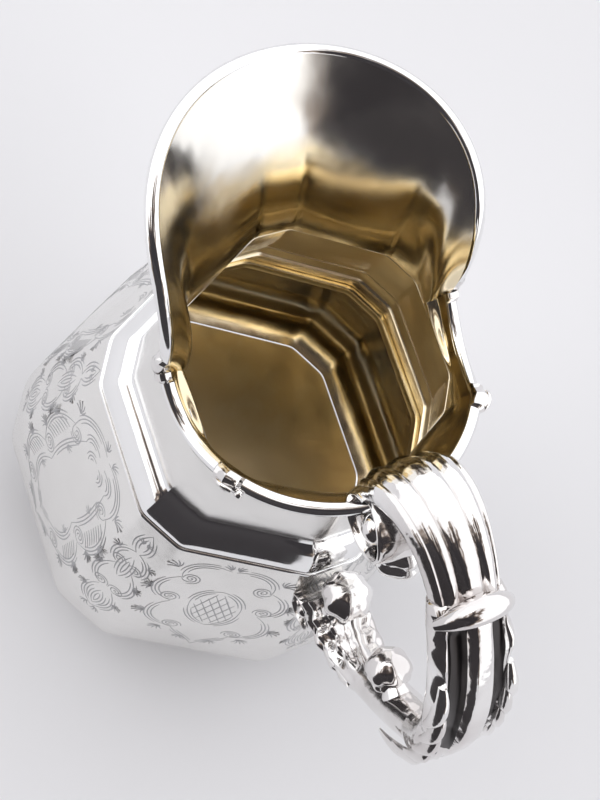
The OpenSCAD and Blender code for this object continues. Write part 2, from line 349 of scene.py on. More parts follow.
# Height where the lip's gilding ends, how far its line wanders and how soft it is.
GILT_TOP = 129.0
GILT_WAVE = 4.0
GILT_SOFT = 1.2
BARE_SILVER = (0.80, 0.78, 0.74)
SHEET = silver_material("sheet_silver", (0.86, 0.85, 0.83), (0.80, 0.79, 0.77), 0.16, 0.26)
POLISHED = silver_material("polished_silver", (0.92, 0.92, 0.92), (0.86, 0.86, 0.86), 0.04, 0.10)
CAST = silver_material("cast_silver", (0.90, 0.89, 0.88), (0.66, 0.63, 0.62), 0.07, 0.16, 0.06, 420.0)
# Near-black finish for the volute webs and the leaf's channels: painted shade of those recesses.
SHADE = new_material("painted_shade_recess", (0.055, 0.05, 0.05), roughness=0.30)
CUT = new_material("engraved_cut", (0.48, 0.48, 0.49), roughness=0.42)
GILT = gilt_material("gilt_silver")
GILT_LIP = gilt_material("gilt_lip", fade=True)
GILT_FLOOR = gilt_material("gilt_floor", rough=(0.40, 0.52), pale=0.14)


# ---- body, foot and collar ----
SIDE_CURVE = [[SHOULDER_R, COLLAR_Z - 2.4], [33, 66], [42, 46], [BELLY_R, BELLY_Z]]
UNDER_CURVE = [[BELLY_R, BELLY_Z], [BELLY_R + 0.6, 15], [42, 9.5], [35, FLOOR_Z]]


def wall_lines(outside):
    """The outside line of a sheet, which runs upwards, and its inside line one wall within."""
    outside = np.asarray(outside, float)
    along = np.gradient(outside, axis=0)
    inwards = unit(np.stack([-along[:, 1], along[:, 0]], axis=1))
    return outside, outside + WALL * inwards


def two_sided(profile, outside_rows, closing_row=True):
    """A panelled sheet's points, faces and face slots: gilding inside, silver outside and, with
    `closing_row`, silver along its lower edge."""
    points, faces = panelled(profile)
    slots = []
    for f in range(len(faces)):
        row = f // len(PLAN)
        lower_edge = closing_row and row == len(profile) - 1
        slots.append(0 if row < outside_rows or lower_edge else 1)
    return points, faces, slots


body_outside = np.vstack([bezier(UNDER_CURVE, 16)[::-1], bezier(SIDE_CURVE, 30)[::-1][1:]])
out_line, in_line = wall_lines(body_outside)
body_points, body_faces, body_slots = two_sided(np.vstack([out_line, in_line[::-1]]), len(out_line))
body = mesh_object("body_shell_skin", body_points, body_faces, [SHEET, GILT], body_slots)
finish_piece(body, "sheet_silver", "body_shell")


def simple_moulding(name, profile, material, slot, replaced, radius=0.2):
    """A moulding of one finish carried round the plan, with softened corners."""
    points, faces = panelled(rounded(profile, radius))
    return finish_piece(mesh_object(name, points, faces, [material]), slot, replaced)


floor_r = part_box("base_plate")[1][1] / MM


def plan_disc(name, r, low, high, material, slot, replaced):
    """A flat plate of the jug's plan, with `material` on its upper face and plain silver elsewhere."""
    radius = r * plan_radius(PLAN, CRISP)
    points, faces = capped_tube([ring(radius, PLAN, z) for z in (low, high)])
    upper_face_only = [1] * (len(faces) - 1) + [0]
    piece = mesh_object(name, points, faces, [material, SHEET], upper_face_only)
    return finish_piece(piece, slot, replaced)


plan_disc("floor_plate", floor_r, FLOOR_Z, FLOOR_Z + WALL, GILT_FLOOR, "gilt_silver", "base_plate")

FOOT_WALL = 1.2
foot_top_r = floor_r - 0.8
foot_line = [[FOOT_R - 1.2, FOOT_EDGE_H], [FOOT_R - 1.9, 2.1], [FOOT_R - 2.8, 2.7],
             [foot_top_r - 1.1, 3.9], [foot_top_r - 1.4, 5.2], [foot_top_r - 1.1, 6.6],
             [foot_top_r - 0.3, 7.4], [foot_top_r, FLOOR_Z]]
foot_profile = foot_line + [[r - FOOT_WALL, z] for r, z in foot_line[::-1]]
simple_moulding("foot_moulding", foot_profile, SHEET, "sheet_silver", "foot_ring")
foot_edge_profile = [[FOOT_R - 3, 0], [FOOT_R - 0.4, 0], [FOOT_R, 0.4], [FOOT_R, FOOT_EDGE_H - 0.5],
                     [FOOT_R - 0.5, FOOT_EDGE_H], [FOOT_R - 3, FOOT_EDGE_H]]
simple_moulding("foot_edge_wire", foot_edge_profile, POLISHED, "polished_silver", "foot_edge")

seat_r, seat_width = SHOULDER_R - WALL, 1.4
seat_profile = [[seat_r, BODY_TOP - 3.4], [seat_r, BODY_TOP],
                [seat_r - seat_width, BODY_TOP], [seat_r - seat_width, BODY_TOP - 2.4]]
simple_moulding("neck_seat", seat_profile, GILT, "gilt_silver", "neck_seat_ring", 0.15)

WIRE_HALF = 0.6
WIRE_SEAT = COLLAR_R - 0.5
arris_r, arris_z = NECK_FOOT_R + 1.25, NECK_FOOT_Z - 1.7
cove = [[NECK_FOOT_R, NECK_FOOT_Z], [NECK_FOOT_R + 0.05, NECK_FOOT_Z - 0.7],
        [NECK_FOOT_R + 0.35, NECK_FOOT_Z - 1.2], [NECK_FOOT_R + 0.8, NECK_FOOT_Z - 1.45], [arris_r, arris_z]]
ovolo = bezier([[arris_r, arris_z], [arris_r + 1.7, arris_z - 1.5], [COLLAR_R - 1, COLLAR_Z + 2.4],
                [WIRE_SEAT, COLLAR_Z + WIRE_HALF]], 14, skip_first=True)
collar_under = [[WIRE_SEAT, COLLAR_Z - WIRE_HALF], [SHOULDER_R + 0.2, BODY_TOP]]
collar_inside = [[SHOULDER_R - WALL - 0.4, BODY_TOP], [NECK_FOOT_R - WALL, NECK_FOOT_Z]]
collar_profile = np.vstack([cove, ovolo, collar_under, collar_inside])
collar_points, collar_faces = panelled(collar_profile)
inner_band = len(collar_profile) - 2
collar_slots = [1 if f // len(PLAN) == inner_band else 0 for f in range(len(collar_faces))]
collar = mesh_object("shoulder_collar_moulding", collar_points, collar_faces, [POLISHED, GILT],
                     collar_slots, sharp=20)
finish_piece(collar, "polished_silver", "shoulder_collar")
wire_profile = [[WIRE_SEAT, COLLAR_Z - WIRE_HALF], [COLLAR_R - 0.2, COLLAR_Z - 0.52],
                [COLLAR_R, COLLAR_Z - 0.2], [COLLAR_R, COLLAR_Z + 0.2],
                [COLLAR_R - 0.2, COLLAR_Z + 0.52], [WIRE_SEAT, COLLAR_Z + WIRE_HALF]]
simple_moulding("collar_edge_wire", wire_profile, POLISHED, "polished_silver", "collar_wire", 0.1)

# ---- neck ----
SEAM_HEIGHT = 5.0
SEAM_STEP = 0.25
neck_outside = bezier([[NECK_FOOT_R, NECK_FOOT_Z], [NECK_FOOT_R, NECK_FOOT_Z + 6],
                       [21.6, 103], [WAIST_R, WAIST_Z]], 20)
neck_inside = neck_outside - [WALL, 0]
seam = int(np.argmin(np.abs(neck_inside[:, 1] - (NECK_FOOT_Z + SEAM_HEIGHT))))
neck_inside[:seam + 1, 0] += SEAM_STEP
neck_profile = np.vstack([neck_outside, neck_inside[::-1]])
neck_points, neck_faces, neck_slots = two_sided(neck_profile, len(neck_outside), closing_row=False)
neck = mesh_object("neck_panels", neck_points, neck_faces, [SHEET, GILT], neck_slots, sharp=20)
finish_piece(neck, "sheet_silver", "neck")

# ---- mouth and lip ----
LIP_STEPS = 72
BACK_STEPS = 84


def lip_share(a):
    """1 in the middle of the lip and 0 from its ends round the back."""
    inside = np.cos(np.radians(90 * clamp(np.abs(a) / LIP_HALF)))
    return np.maximum(inside, 0) ** 1.34


def edge_point(a):
    """A point of the mouth's edge, on the outside of the sheet, at an angle from the lip's middle."""
    size = np.abs(a)
    share = clamp((size - LIP_HALF) / (REAR_SCROLL - LIP_HALF))
    dip = np.where((size > LIP_HALF) & (size < REAR_SCROLL), np.sin(np.pi * share), 0)
    radius = MOUTH_R + (LIP_REACH - MOUTH_R) * lip_share(a) - 0.24 * SIDE_DIP * dip
    ratio = clamp(size / LIP_HALF)
    lip = LIP_RISE * (1 - ratio ** 3.7) ** 0.52 - TIP_DROP * np.maximum(np.cos(np.pi / 2 * ratio), 0) ** 3
    back = BACK_RISE * clamp((size - LIP_HALF) / (180 - LIP_HALF)) ** 1.7 - SIDE_DIP * dip
    height = MOUTH_Z + np.where(size < LIP_HALF, lip, back)
    angle = np.radians(a)
    return np.stack([radius * np.cos(angle), radius * np.sin(angle), height], axis=-1)


side_angles = np.concatenate([LIP_HALF * np.sin(np.linspace(0, np.pi / 2, LIP_STEPS + 1)),
                              LIP_HALF + (180 - LIP_HALF) * np.linspace(0, 1, BACK_STEPS + 1)[1:]])
MOUTH = np.concatenate([side_angles, -side_angles[-2:0:-1]])
COUNT = len(MOUTH)
EDGE = edge_point(MOUTH)
edge_along = unit(np.roll(EDGE, -1, axis=0) - np.roll(EDGE, 1, axis=0))
SIDE_TILT, LIP_TILT = 24, 50
tilt = np.radians(SIDE_TILT + (LIP_TILT - SIDE_TILT) * lip_share(MOUTH))
spin = np.radians(MOUTH)
edge_lean = np.stack([np.sin(tilt) * np.cos(spin), np.sin(tilt) * np.sin(spin), np.cos(tilt)], axis=-1)
EDGE_OUT = unit(np.cross(edge_along, edge_lean))
EDGE_AWAY = unit(np.cross(EDGE_OUT, edge_along))
SHEET_END = 1.2
SHEET_ROWS = 26


def sheet_row(t, inset):
    """One ring of the mouth's sheet, from the waist at 0 to the edge at 1."""
    waist_r = WAIST_R * plan_radius(MOUTH, CRISP)
    start = np.stack([waist_r * np.cos(spin), waist_r * np.sin(spin), np.full(len(MOUTH), WAIST_Z)], axis=-1)
    end = EDGE - SHEET_END * EDGE_AWAY
    reach = 0.36 * np.linalg.norm(end - start, axis=-1, keepdims=True)
    p1, p2 = start + reach * [0, 0, 1], end - reach * EDGE_AWAY
    points = (1 - t) ** 3 * start + 3 * (1 - t) ** 2 * t * p1 + 3 * (1 - t) * t ** 2 * p2 + t ** 3 * end
    radial = np.stack([np.cos(spin), np.sin(spin), np.zeros(len(MOUTH))], axis=-1)
    return points - inset * unit((1 - t) * radial + t * EDGE_OUT)


outer_rows = [sheet_row(t, 0) for t in np.linspace(0, 1, SHEET_ROWS)] + [EDGE]
inner_rows = [EDGE - WALL * EDGE_OUT] + [sheet_row(t, WALL) for t in np.linspace(1, 0, SHEET_ROWS)]
mouth_points = np.concatenate(outer_rows + inner_rows)
mouth_faces = grid_faces(len(outer_rows) + len(inner_rows), COUNT, close_rows=True)
mouth_slots = [0 if f // COUNT < len(outer_rows) else 1 for f in range(len(mouth_faces))]
mouth = mesh_object("mouth_and_lip_sheet", mouth_points, mouth_faces, [SHEET, GILT_LIP],
                    mouth_slots, sharp=40)
finish_piece(mouth, "gilt_silver", "mouth_and_lip")

# ---- rim mouldings ----
# The moulding's section as [outwards, away from the jug], measured from the edge of the sheet.
RIM_SECTION = np.array([[-WALL, 0], [-WALL - 0.15, 0.35], [-WALL - 0.05, 0.7], [-0.45, 1.0], [-0.1, 1.1],
                        [0.35, 1.12], [0.8, 0.85], [1.1, 0.35], [1.15, -0.1], [1.05, -0.55], [0.75, -0.9],
                        [0.4, -1.0], [0.3, -1.2], [0, -1.25], [0, 0]])


def rim_ring(step, grown=1.0):
    """The rim's section at a step along the edge, its outer side enlarged by `grown`."""
    i = step % COUNT
    section = RIM_SECTION * np.where(RIM_SECTION > 0, grown, 1.0)
    return EDGE[i] + section[:, :1] * EDGE_OUT[i] + section[:, 1:] * EDGE_AWAY[i]


def rim_piece(name, first, last, replaced):
    """The half-round moulding between two places on the edge, given as steps from the lip's middle."""
    points, faces = capped_tube([rim_ring(step) for step in range(first, last + 1)])
    return finish_piece(mesh_object(name, points, faces, [POLISHED], sharp=50), "polished_silver", replaced)


def step_at(angle):
    """The step along the mouth's edge nearest to an angle."""
    return int(np.argmin(np.abs(side_angles - angle)))


# Angles between which the front and the rear scrolls lie.
FRONT_FROM, FRONT_TO = step_at(77.2), step_at(82.5)
REAR_FROM, REAR_TO = step_at(119.5), step_at(129.5)
rim_piece("lip_edge_moulding", -FRONT_FROM, FRONT_FROM, "lip_moulding")
rim_piece("rim_edge_left", FRONT_TO, REAR_FROM, "rim_moulding_left")
rim_piece("rim_edge_right", -REAR_FROM, -FRONT_TO, "rim_moulding_right")
rim_piece("rim_edge_back", REAR_TO, COUNT - REAR_TO, "rim_moulding_back")


# ---- small cast details ----
def bead(centre, radii, axes=None, rings=12, sides=20, dents=None):
    """A closed rounded bead. `axes` are its own x, y, z directions and `dents` changes its radius."""
    axes = np.eye(3) if axes is None else np.asarray(axes, float)
    rows = []
    for j in range(1, rings):
        polar = math.pi * j / rings
        turn = 2 * np.pi * np.arange(sides) / sides
        unit_points = np.stack([np.sin(polar) * np.cos(turn), np.sin(polar) * np.sin(turn),
                                np.full(sides, np.cos(polar))], axis=-1)
        factor = 1.0 if dents is None else dents(polar, turn)[:, None]
        rows.append(np.asarray(centre) + (unit_points * factor * np.asarray(radii)) @ axes)
    return capped_tube(rows[::-1])


def taper_tube(path, radii, flat=1.0, sides=14, up=(0, 1, 0)):
    """A closed tube of changing radius along a path; `flat` squeezes it square to its side direction."""
    path = np.asarray(path, float)
    along = unit(np.gradient(path, axis=0))
    side = unit(np.cross(along, np.asarray(up, float)))
    lift = unit(np.cross(side, along))
    angle = 2 * np.pi * np.arange(sides) / sides
    rows = []
    for k in range(len(path)):
        spread = np.cos(angle)[:, None] * side[k] + flat * np.sin(angle)[:, None] * lift[k]
        rows.append(path[k] + radii[k] * spread)
    return capped_tube(rows)


def drum(centre, half_width, radius):
    """A short round disc across the handle, the web of a volute."""
    path = [centre + y * Y_AXIS for y in np.linspace(-half_width, half_width, 5)]
    return taper_tube(path, [radius] * len(path), sides=32, up=(1, 0, 0))


def pair_of_beads(centre, offset, radii, rings, sides):
    """The same bead on both sides of the handle, `offset` from its middle."""
    return [bead(centre + side * offset * Y_AXIS, radii, None, rings, sides) for side in (-1, 1)]


CURL_POINTS = 22


def rim_scroll(name, first, last, replaced):
    """The cast C-scroll that covers a joint of the rim: a swelling saddle with a curl and beads on it."""
    i = (first + last) // 2 % COUNT
    rows = []
    for step in range(first, last + 1):
        share = (step - first) / (last - first)
        grown = 1 + 0.75 * math.sin(math.pi * share) ** 0.7 + 0.16 * math.sin(5 * math.pi * share)
        rows.append(rim_ring(step, grown))
    parts = [capped_tube(rows)]
    along = unit(EDGE[last % COUNT] - EDGE[first % COUNT])
    out = unit(EDGE_OUT[i] - np.dot(EDGE_OUT[i], along) * along)
    up = unit(np.cross(along, out))
    if up[2] < 0:
        up = -up
    centre = EDGE[i] + 1.35 * out + 0.5 * up
    turns = np.linspace(0.2 * math.pi, 1.75 * math.pi, CURL_POINTS)
    sizes = np.linspace(1.9, 0.75, CURL_POINTS)
    curl = []
    for turn, size in zip(turns, sizes):
        curl.append(centre + size * (math.cos(turn) * along + 0.75 * math.sin(turn) * up))
    parts.append(taper_tube(curl, np.linspace(0.34, 0.62, CURL_POINTS), up=out))
    parts.append(bead(centre + 0.15 * along, (0.85, 0.85, 0.8), [along, out, up], 8, 14))
    parts.append(bead(centre + 2.3 * along - 0.3 * up, (0.72, 0.7, 0.6), [along, out, up], 8, 14))
    points, faces = join(parts)
    return finish_piece(mesh_object(name, points, faces, [CAST]), "cast_silver", replaced)


rim_scroll("front_rim_scroll_left", FRONT_FROM, FRONT_TO, "front_scroll_left")
rim_scroll("front_rim_scroll_right", -FRONT_TO, -FRONT_FROM, "front_scroll_right")
rim_scroll("rear_rim_scroll_left", REAR_FROM, REAR_TO, "rear_scroll_left")
rim_scroll("rear_rim_scroll_right", -REAR_TO, -REAR_FROM, "rear_scroll_right")

# ---- handle ----
HANDLE_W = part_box("handle_upper_scroll")[1][1] / MM * 2
HANDLE_T = 6.4
# Middle line of the casting in the plane of the lip and handle, as [x, z].
HANDLE_LINE = np.array([[-20.8, 129.6], [-22.3, 134.2], [-25.9, 137.4], [-30.8, 138.2], [-36.3, 136.4],
                        [-42.6, 132.6], [-49.1, 126.4], [-54.3, 117.9], [-57.0, 107.7], [-55.2, 97.2],
                        [-51.6, 87.4], [-46.8, 80.4], [-41.2, 76.8], [-35.6, 76.2], [-30.0, 76.4]])
# Places on that line, counted in its points, where the leaf starts and ends and where the husk ends.
LEAF_START, LEAF_END, HUSK_END = 4.0, 8.4, 13.1


def handle_at(t):
    """A point of the casting's middle line; whole numbers are the line's own points."""
    last = len(HANDLE_LINE) - 1
    i = min(int(t), last - 1)
    u = t - i
    before, here = HANDLE_LINE[max(i - 1, 0)], HANDLE_LINE[i]
    following, after = HANDLE_LINE[i + 1], HANDLE_LINE[min(i + 2, last)]
    square = 2 * before - 5 * here + 4 * following - after
    cube = 3 * here - before - 3 * following + after
    return 0.5 * (2 * here + (following - before) * u + square * u * u + cube * u ** 3)


def handle_frame(t):
    """Middle point, direction along and direction outwards at a place on the handle, as [x, y, z]."""
    step = 0.05
    along = unit(handle_at(min(t + step, len(HANDLE_LINE) - 1)) - handle_at(max(t - step, 0)))
    return in_plane(handle_at(t)), in_plane(along), in_plane([along[1], -along[0]])


def reeds(angle, count, depth):
    """Height added round a section by rounded reeds with narrow grooves between them."""
    outer = clamp(np.sin(angle) * 2.2 + 0.9)
    wave = np.sin(count * (angle - np.pi / 2) / 2 + np.pi / 2 * (count % 2))
    return depth * (np.abs(wave) ** 0.7 - 1) * outer


SECTION_POINTS = 108


def handle_sweep(first, last, step, section):
    """Rings along the handle. `section(t, angle)` gives width and thickness offsets for every angle."""
    count = max(int(round((last - first) / step)), 2)
    angle = 2 * np.pi * np.arange(SECTION_POINTS) / SECTION_POINTS
    rows = []
    for t in np.linspace(first, last, count + 1):
        middle, _, outwards = handle_frame(t)
        across, out = section(t, angle)
        rows.append(middle + across[:, None] * Y_AXIS + out[:, None] * outwards)
    return capped_tube(rows)


def lookup(t, table):
    """The value at t between the [place, value] rows of a short table."""
    keys = [row[0] for row in table]
    return float(np.interp(t, keys, [row[1] for row in table]))


def strap_section(width, thick, power=2.4):
    """A rounded strap: a superellipse of the given width and thickness."""
    def shape(angle):
        c, s = np.cos(angle), np.sin(angle)
        across = width / 2 * np.sign(c) * np.abs(c) ** (2 / power)
        out = thick / 2 * np.sign(s) * np.abs(s) ** (2 / power)
        return across, out
    return shape


# How much wider the upper scroll is at its volute than at the leaf.
SCROLL_FLARE = 3.4
# Half the strap's thickness, for turning the depth of its relief into a share of it.
HALF_T = HANDLE_T / 2


def reeded_section(t, angle):
    """The upper scroll: a strap with reeds along its outer side that flares towards the volute."""
    width = HANDLE_W + lookup(t, [[0, SCROLL_FLARE], [1, SCROLL_FLARE], [2, 2.2], [3, 0.9], [LEAF_START, 0]])
    thick = lookup(t, [[0, HANDLE_T - 0.8], [1.5, HANDLE_T], [LEAF_START, HANDLE_T]])
    across, out = strap_section(width, thick)(angle)
    grow = 1 + reeds(angle, 11, 0.8) / HALF_T
    return across * (0.985 + 0.015 * grow), out * grow


VOLUTE_AT = in_plane([-25.2, 126.3])
LOW_VOLUTE_AT = in_plane([-36.6, 69.6])
# The part of a turn that a volute's strap keeps its full width and radius.
FULL_TURN = 0.8
COIL_STEPS, COIL_POINTS = 90, 40


def spiral_strap(centre, outer, inner, start, turns, width, thick, shrink=0.5):
    """A strap that coils in the plane of the handle from `start` degrees, drawn in at its inner end."""
    rows = []
    angle = 2 * np.pi * np.arange(COIL_POINTS) / COIL_POINTS
    for place in np.linspace(0, 1, COIL_STEPS):
        share = clamp((place * abs(turns) - FULL_TURN) / (abs(turns) - FULL_TURN))
        turn = math.radians(start) + 2 * math.pi * turns * place
        radius = outer + (inner - outer) * share
        outwards = in_plane([math.cos(turn), math.sin(turn)])
        across, out = strap_section(width * (1 - (1 - shrink) * share), thick * (1 - 0.45 * share))(angle)
        out = out * (1 + reeds(angle, 9, 0.45) / HALF_T)
        rows.append(centre + radius * outwards + across[:, None] * Y_AXIS + out[:, None] * outwards)
    return capped_tube(rows)


def volute(name, coil, web, replaced):
    """A coiled strap with a near-black web in its recess: painted shade."""
    points, faces = join([coil, web])
    slots = [0] * len(coil[1]) + [1] * len(web[1])
    piece = mesh_object(name, points, faces, [CAST, SHADE], slots, sharp=60)
    return finish_piece(piece, "cast_silver", replaced)


scroll_points, scroll_faces = handle_sweep(0.05, LEAF_START, 0.06, reeded_section)
finish_piece(mesh_object("handle_reeded_scroll", scroll_points, scroll_faces, [CAST], sharp=60),
             "cast_silver", "handle_upper_scroll")
volute_w = HANDLE_W + SCROLL_FLARE + 0.6
volute_coil = spiral_strap(VOLUTE_AT, outer=4.75, inner=2.2, start=52, turns=-1.5, width=volute_w, thick=1.9)
volute("upper_volute_coil", volute_coil, drum(VOLUTE_AT, half_width=1.8, radius=4.4), "upper_volute")
eyes = pair_of_beads(VOLUTE_AT + in_plane([-0.8, -0.8]), volute_w / 2 - 2.2, (2.2, 2.0, 2.2), 14, 28)
finish_piece(mesh_object("upper_volute_bosses", *join(eyes), [CAST]), "cast_silver", "upper_volute_eyes")

# The leaf's hollows: how far they lie from the midrib and half their width, as shares of half the strap.
CHANNEL_AT, CHANNEL_HALF = 0.50, 0.24
CHANNEL_DEPTH = 2.3


def leaf_section(t, angle):
    """The acanthus leaf over the bend: a broad midrib, deep channels beside it and lobes at the sides."""
    share = (t - LEAF_START) / (LEAF_END - LEAF_START)
    width = HANDLE_W + lookup(share, [[0, 0.6], [0.12, 1.6], [0.5, 2.8], [0.8, 1.6], [1, -1.2]])
    thick = HANDLE_T + lookup(share, [[0, 0.4], [0.1, 1.6], [0.5, 0.8], [1, -0.4]])
    across, out = strap_section(width, thick, 2.2)(angle)
    outer = clamp(np.sin(angle) * 3 + 1.0)
    from_rib = np.abs(np.cos(angle))
    open_part = clamp(share * 7) * clamp((0.86 - share) * 4)
    channel = np.exp(-((from_rib - CHANNEL_AT) / CHANNEL_HALF) ** 4) * open_part * CHANNEL_DEPTH
    finger_part = clamp((share - 0.55) * 4 + (from_rib - 0.6) * 3)
    fingers = 0.55 * np.cos(30 * from_rib - 7 * share) * finger_part
    lobes = 0.55 * np.cos(2 * np.pi * (share * 5.5) + 5 * from_rib) * clamp((from_rib - 0.6) * 4)
    lift = (fingers + lobes - channel) * outer
    return across * (1 + 0.08 * lobes * outer), out + lift * np.maximum(np.sin(angle), 0.15)


def lobe(t, side, length, size, spread, half):
    """One pointed lobe of the leaf's edge, lying along the casting and turning outwards at its tip."""
    path, radii = [], []
    for share in np.linspace(0, 1, 14):
        middle, _, outwards = handle_frame(t + length * share)
        reach = half + spread * share ** 1.6
        rise = 1.5 + 0.9 * share - 2.0 * share ** 3
        path.append(middle + side * reach * Y_AXIS + rise * outwards)
        radii.append(size * (0.35 + math.sin(math.pi * min(share * 0.85 + 0.12, 1)) * 0.75))
    return taper_tube(path, radii, flat=0.7, up=(0, 1, 0))


leaf_parts = [handle_sweep(LEAF_START, LEAF_END, 0.05, leaf_section)]
leaf_rows = len(leaf_parts[0][0]) // SECTION_POINTS
# Faces in the middle of the leaf's channels get the near-black finish: painted shade of the hollows.
leaf_slots = []
for j in range(leaf_rows - 1):
    for i in range(SECTION_POINTS):
        from_rib = abs(math.cos(2 * math.pi * (i + 0.5) / SECTION_POINTS))
        in_channel = abs(from_rib - CHANNEL_AT) < 0.82 * CHANNEL_HALF and i < SECTION_POINTS / 2
        leaf_slots.append(1 if in_channel and 0.10 < j / leaf_rows < 0.74 else 0)
for side in (-1, 1):
    for k in range(6):
        place, size, spread = LEAF_START + 1.5 + 0.5 * k, 1.25 - 0.06 * k, 1.3 - 0.15 * k
        leaf_parts.append(lobe(place, side, 0.95, size, spread, HANDLE_W / 2 + 0.2))
# The rolled top edge of the leaf, across the strap.
roll_path, roll_radii = [], []
for share in np.linspace(-1, 1, 25):
    middle, _, outwards = handle_frame(LEAF_START + 0.1 + 0.22 * share * share)
    rise = HALF_T + 0.9 - 2.6 * abs(share) ** 2.6
    roll_path.append(middle + share * (HANDLE_W / 2 + 0.5) * Y_AXIS + rise * outwards)
    roll_radii.append(0.7 + 1.15 * (1 - share ** 2))
leaf_parts.append(taper_tube(roll_path, roll_radii, sides=18, up=(0, 0, 1)))
leaf_points, leaf_faces = join(leaf_parts)
leaf_slots += [0] * (len(leaf_faces) - len(leaf_slots))
leaf = mesh_object("handle_acanthus_leaf", leaf_points, leaf_faces, [CAST, SHADE], leaf_slots, sharp=70)
finish_piece(leaf, "cast_silver", "handle_leaf")


def husk_section(t, angle):
    """The lower scroll: smooth and two-lobed past the leaf, then a swelling husk with long leaf ribs."""
    width = HANDLE_W + lookup(t, [[LEAF_END, -1.8], [10, -1.6], [11, -0.4], [12, 0.8], [14, 0.8]])
    thick = HANDLE_T + lookup(t, [[LEAF_END, -0.8], [10, -0.2], [12, 2.6], [14, 2.8]])
    across, out = strap_section(width, thick, 2.1)(angle)
    ribbed = clamp((t - 10.2) / 0.8)
    rib = 0.55 * np.cos(9 * angle + 1.6 * (t - 10)) * ribbed
    lobed = 0.35 * np.cos(3.2 * np.pi * (t - 10)) * ribbed * np.abs(np.sin(2 * angle))
    crease = 0.5 * np.exp(-((np.abs(angle - np.pi / 2)) / 0.25) ** 2) * (1 - ribbed)
    grow = 1 + (rib + lobed - crease) / 4.2
    return across * grow, out * grow


husk_parts = [handle_sweep(LEAF_END, HUSK_END, 0.05, husk_section)]
for side in (-1, 1):
    for k in range(4):
        husk_parts.append(lobe(10.6 + 0.55 * k, side, 0.6, 0.85, 0.25, HANDLE_W / 2 - 0.8 + 0.35 * k))
husk = mesh_object("handle_lower_husk", *join(husk_parts), [CAST], sharp=70)
finish_piece(husk, "cast_silver", "handle_lower_scroll")
low_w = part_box("lower_volute")[1][1] / MM * 2
low_coil = spiral_strap(LOW_VOLUTE_AT, outer=3.45, inner=1.5, start=120, turns=1.4, width=low_w - 0.2,
                        thick=1.5, shrink=0.8)
volute("lower_volute_coil", low_coil, drum(LOW_VOLUTE_AT, half_width=3.2, radius=3.2), "lower_volute")
low_eyes = pair_of_beads(LOW_VOLUTE_AT, low_w / 2 - 1.2, (1.5, 1.3, 1.5), 12, 20)
finish_piece(mesh_object("lower_volute_bosses", *join(low_eyes), [CAST]), "cast_silver", "lower_volute_eyes")


def bud(name, replaced, lean, root_at, lobes=5):
    """A rounded bud with folded lobes and a pinched seam, on a stem from `root_at` on the casting."""
    low, high = np.array(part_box(replaced)[0]) / MM, np.array(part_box(replaced)[1]) / MM
    centre, radii = (low + high) / 2, (high - low) / 2
    up = unit(in_plane(lean))
    forward = np.cross(Y_AXIS, up)

    def dents(polar, turn):
        fold = 0.045 * np.cos(lobes * turn) * math.sin(polar) ** 2
        pinch = 0.12 * math.exp(-((polar - 1.75) / 0.16) ** 2)
        return 1 - pinch + fold * (1.0 if polar < 1.7 else 1.6)

    root = in_plane(root_at)
    stem_sizes = radii.min() * np.array([0.80, 0.70, 0.60, 0.55, 0.52, 0.55, 0.62, 0.70])
    path = [root + (centre - root) * share for share in np.linspace(0, 1, len(stem_sizes))]
    knob = bead(centre, radii, [forward, Y_AXIS, up], 28, 48, dents)
    points, faces = join([knob, taper_tube(path, stem_sizes, sides=24)])
    return finish_piece(mesh_object(name, points, faces, [CAST], sharp=70), "cast_silver", replaced)


bud("underside_leaf_bud", "underside_bud", (-0.5, -0.9), (-27.4, 122.4))
bud("body_knuckle", "knuckle_at_body", (0.3, 1.0), (-37.6, 79.5), 7)
bud("bend_knuckle", "knuckle_at_bend", (0.8, 0.8), (-52.6, 94.6), 6)


# ---- engraving ----
# Width of an engraved stroke, how far it stands over the sheet and how deep it goes into it.
LINE_W, LINE_RISE, LINE_SINK = 0.30, 0.05, 0.14
# Half the height over which the sheet's slope is measured.
SLOPE_REACH = 0.3


def apothem_at(height):
    """Half the body's width over its wide panels at a height."""
    return np.interp(height, body_outside[:, 1], body_outside[:, 0])


def panel_points(azimuth, across, height):
    """Points on the body's panel facing `azimuth` and the outward direction there."""
    ratio = NARROW_RATIO if azimuth % (2 * SIDE_STEP) == 0 else 1.0
    apothem = ratio * apothem_at(height)
    growth = apothem_at(height + SLOPE_REACH) - apothem_at(height - SLOPE_REACH)
    slope = growth / (2 * SLOPE_REACH) * ratio
    radial, side = around(azimuth)
    points = apothem[:, None] * radial + across[:, None] * side + height[:, None] * Z_AXIS
    return points, unit(radial - slope[:, None] * Z_AXIS)


def cut_line(azimuth, line, width=LINE_W):
    """One engraved stroke as a thin closed sliver that tapers at both ends and follows the panel."""
    line = np.asarray(line, float)
    points, outward = panel_points(azimuth, line[:, 0], line[:, 1])
    along = unit(np.gradient(points, axis=0))
    side = unit(np.cross(outward, along))
    share = np.linspace(0, 1, len(line))
    half = width / 2 * (0.25 + 0.75 * np.sin(np.pi * np.clip(share, 0.02, 0.98)) ** 0.5)
    rows = np.stack([points + half[:, None] * side + 0.01 * outward, points + LINE_RISE * outward,
                     points - half[:, None] * side + 0.01 * outward, points - LINE_SINK * outward], axis=1)
    return capped_tube(rows)


# Strokes with at least this many points get shading lines beside them.
LONG = 18


def curve(*p, count=LONG):
    """A curved stroke through four control points given as (across, height)."""
    return bezier([list(q) for q in p], count)


def spiral(u, v, outer, inner, start, turns, count=30):
    """A flat spiral; angles in degrees."""
    share = np.linspace(0, 1, count)
    radius = outer + (inner - outer) * share
    angle = np.radians(start + 360 * turns * share)
    return np.stack([u + radius * np.cos(angle), v + radius * np.sin(angle)], axis=1)


